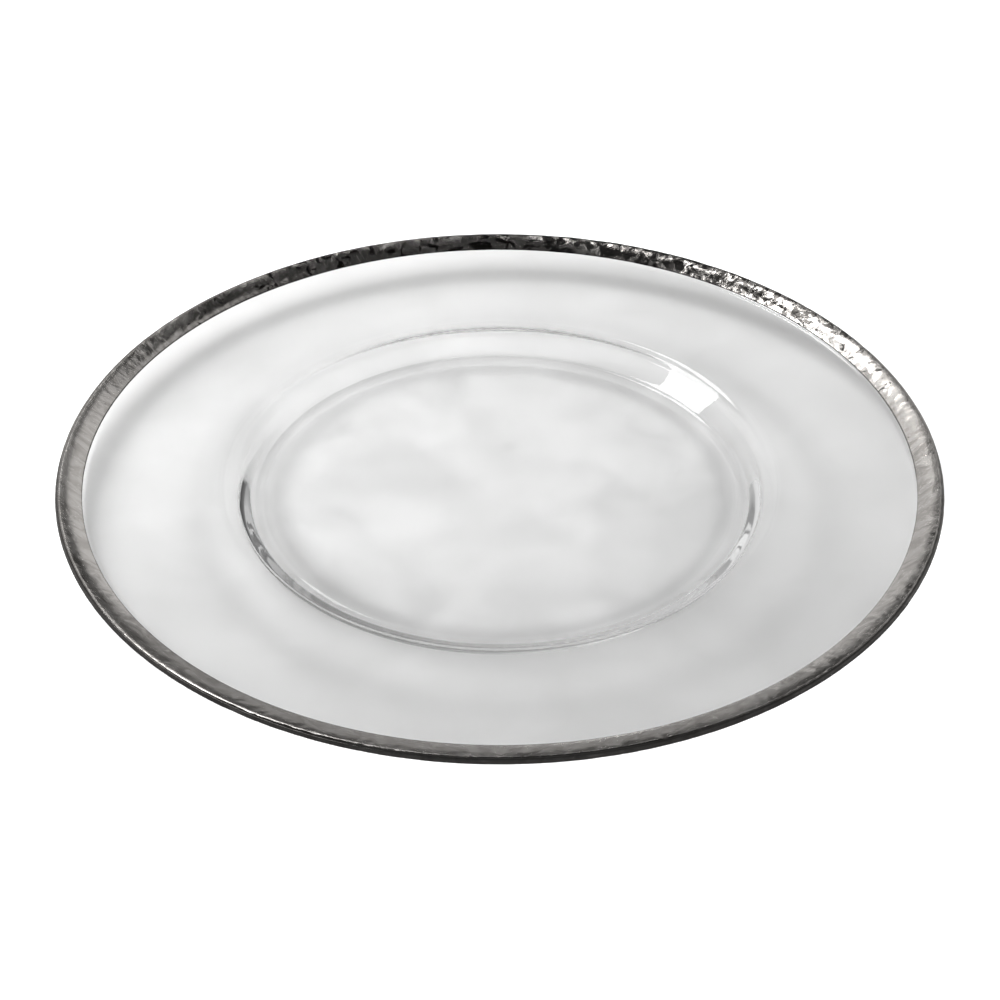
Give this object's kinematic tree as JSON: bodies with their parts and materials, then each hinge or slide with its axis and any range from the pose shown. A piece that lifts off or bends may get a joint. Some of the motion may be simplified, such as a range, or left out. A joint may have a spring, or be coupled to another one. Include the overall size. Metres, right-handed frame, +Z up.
{
  "type": "charger plate",
  "caption": "Round clear glass charger plate with a shallow centre well, a broad rising rim and a hammered silvered border.",
  "frame": {"origin": "on the table, under the middle of the plate", "axes": "+Z up, square to the plate; +X to the right and +Y to the back of the pictured view"},
  "size_m": [0.33, 0.33, 0.016],
  "materials": {
    "clear_glass": "clear pressed soda-lime glass with a soft waviness and polished faces",
    "silver_coat": "bright warm silver coat over hammered glass"
  },
  "bodies": {
    "root": {"glass_plate": "clear_glass", "silver_band": "silver_coat"}
  },
  "joints": []
}
